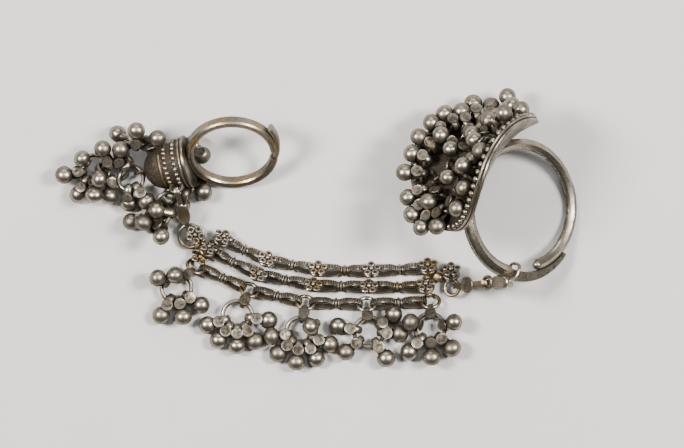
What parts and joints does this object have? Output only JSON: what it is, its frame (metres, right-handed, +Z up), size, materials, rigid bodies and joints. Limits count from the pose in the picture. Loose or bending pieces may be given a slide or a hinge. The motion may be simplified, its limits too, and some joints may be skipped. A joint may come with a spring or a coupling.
{
  "type": "linked toe ring pair",
  "caption": "Open toe ring with a saddle plate linked by chain rows to a smaller ring with a domed bezel, both hung with clustered ball drops, lying on their sides.",
  "frame": {"origin": "middle of the bounding box, on the floor that the piece lies on", "axes": "+X along the chains from the small ring to the big ring, +Y across the chains towards the rings' far sides, +Z up from the floor"},
  "size_m": [0.0948, 0.0514, 0.0276],
  "materials": {
    "silver": "satin, rubbed silver with light scratches",
    "dark_silver": "rubbed balls with brown-black patina between them",
    "warm_silver": "yellowish stains round the soldered joints"
  },
  "bodies": {
    "root": {"big_toe_ring": "silver", "small_toe_ring": "silver", "plate_drops": "dark_silver", "cap_cluster": "dark_silver", "top_cluster": "dark_silver", "side_trio": "dark_silver", "flange_drops": "dark_silver", "left_bail": "warm_silver", "left_terminal": "warm_silver", "upper_chain": "silver", "middle_chain": "dark_silver", "lower_chain": "silver", "right_terminal": "warm_silver", "right_bail": "warm_silver", "band_hook": "silver", "bunch_bail_1": "warm_silver", "bunch_bail_2": "warm_silver", "bunch_bail_3": "warm_silver", "bunch_bail_4": "warm_silver", "bunch_bail_5": "warm_silver", "bunch_1": "dark_silver", "bunch_2": "dark_silver", "bunch_3": "dark_silver", "bunch_4": "dark_silver", "bunch_5": "dark_silver"}
  },
  "joints": []
}
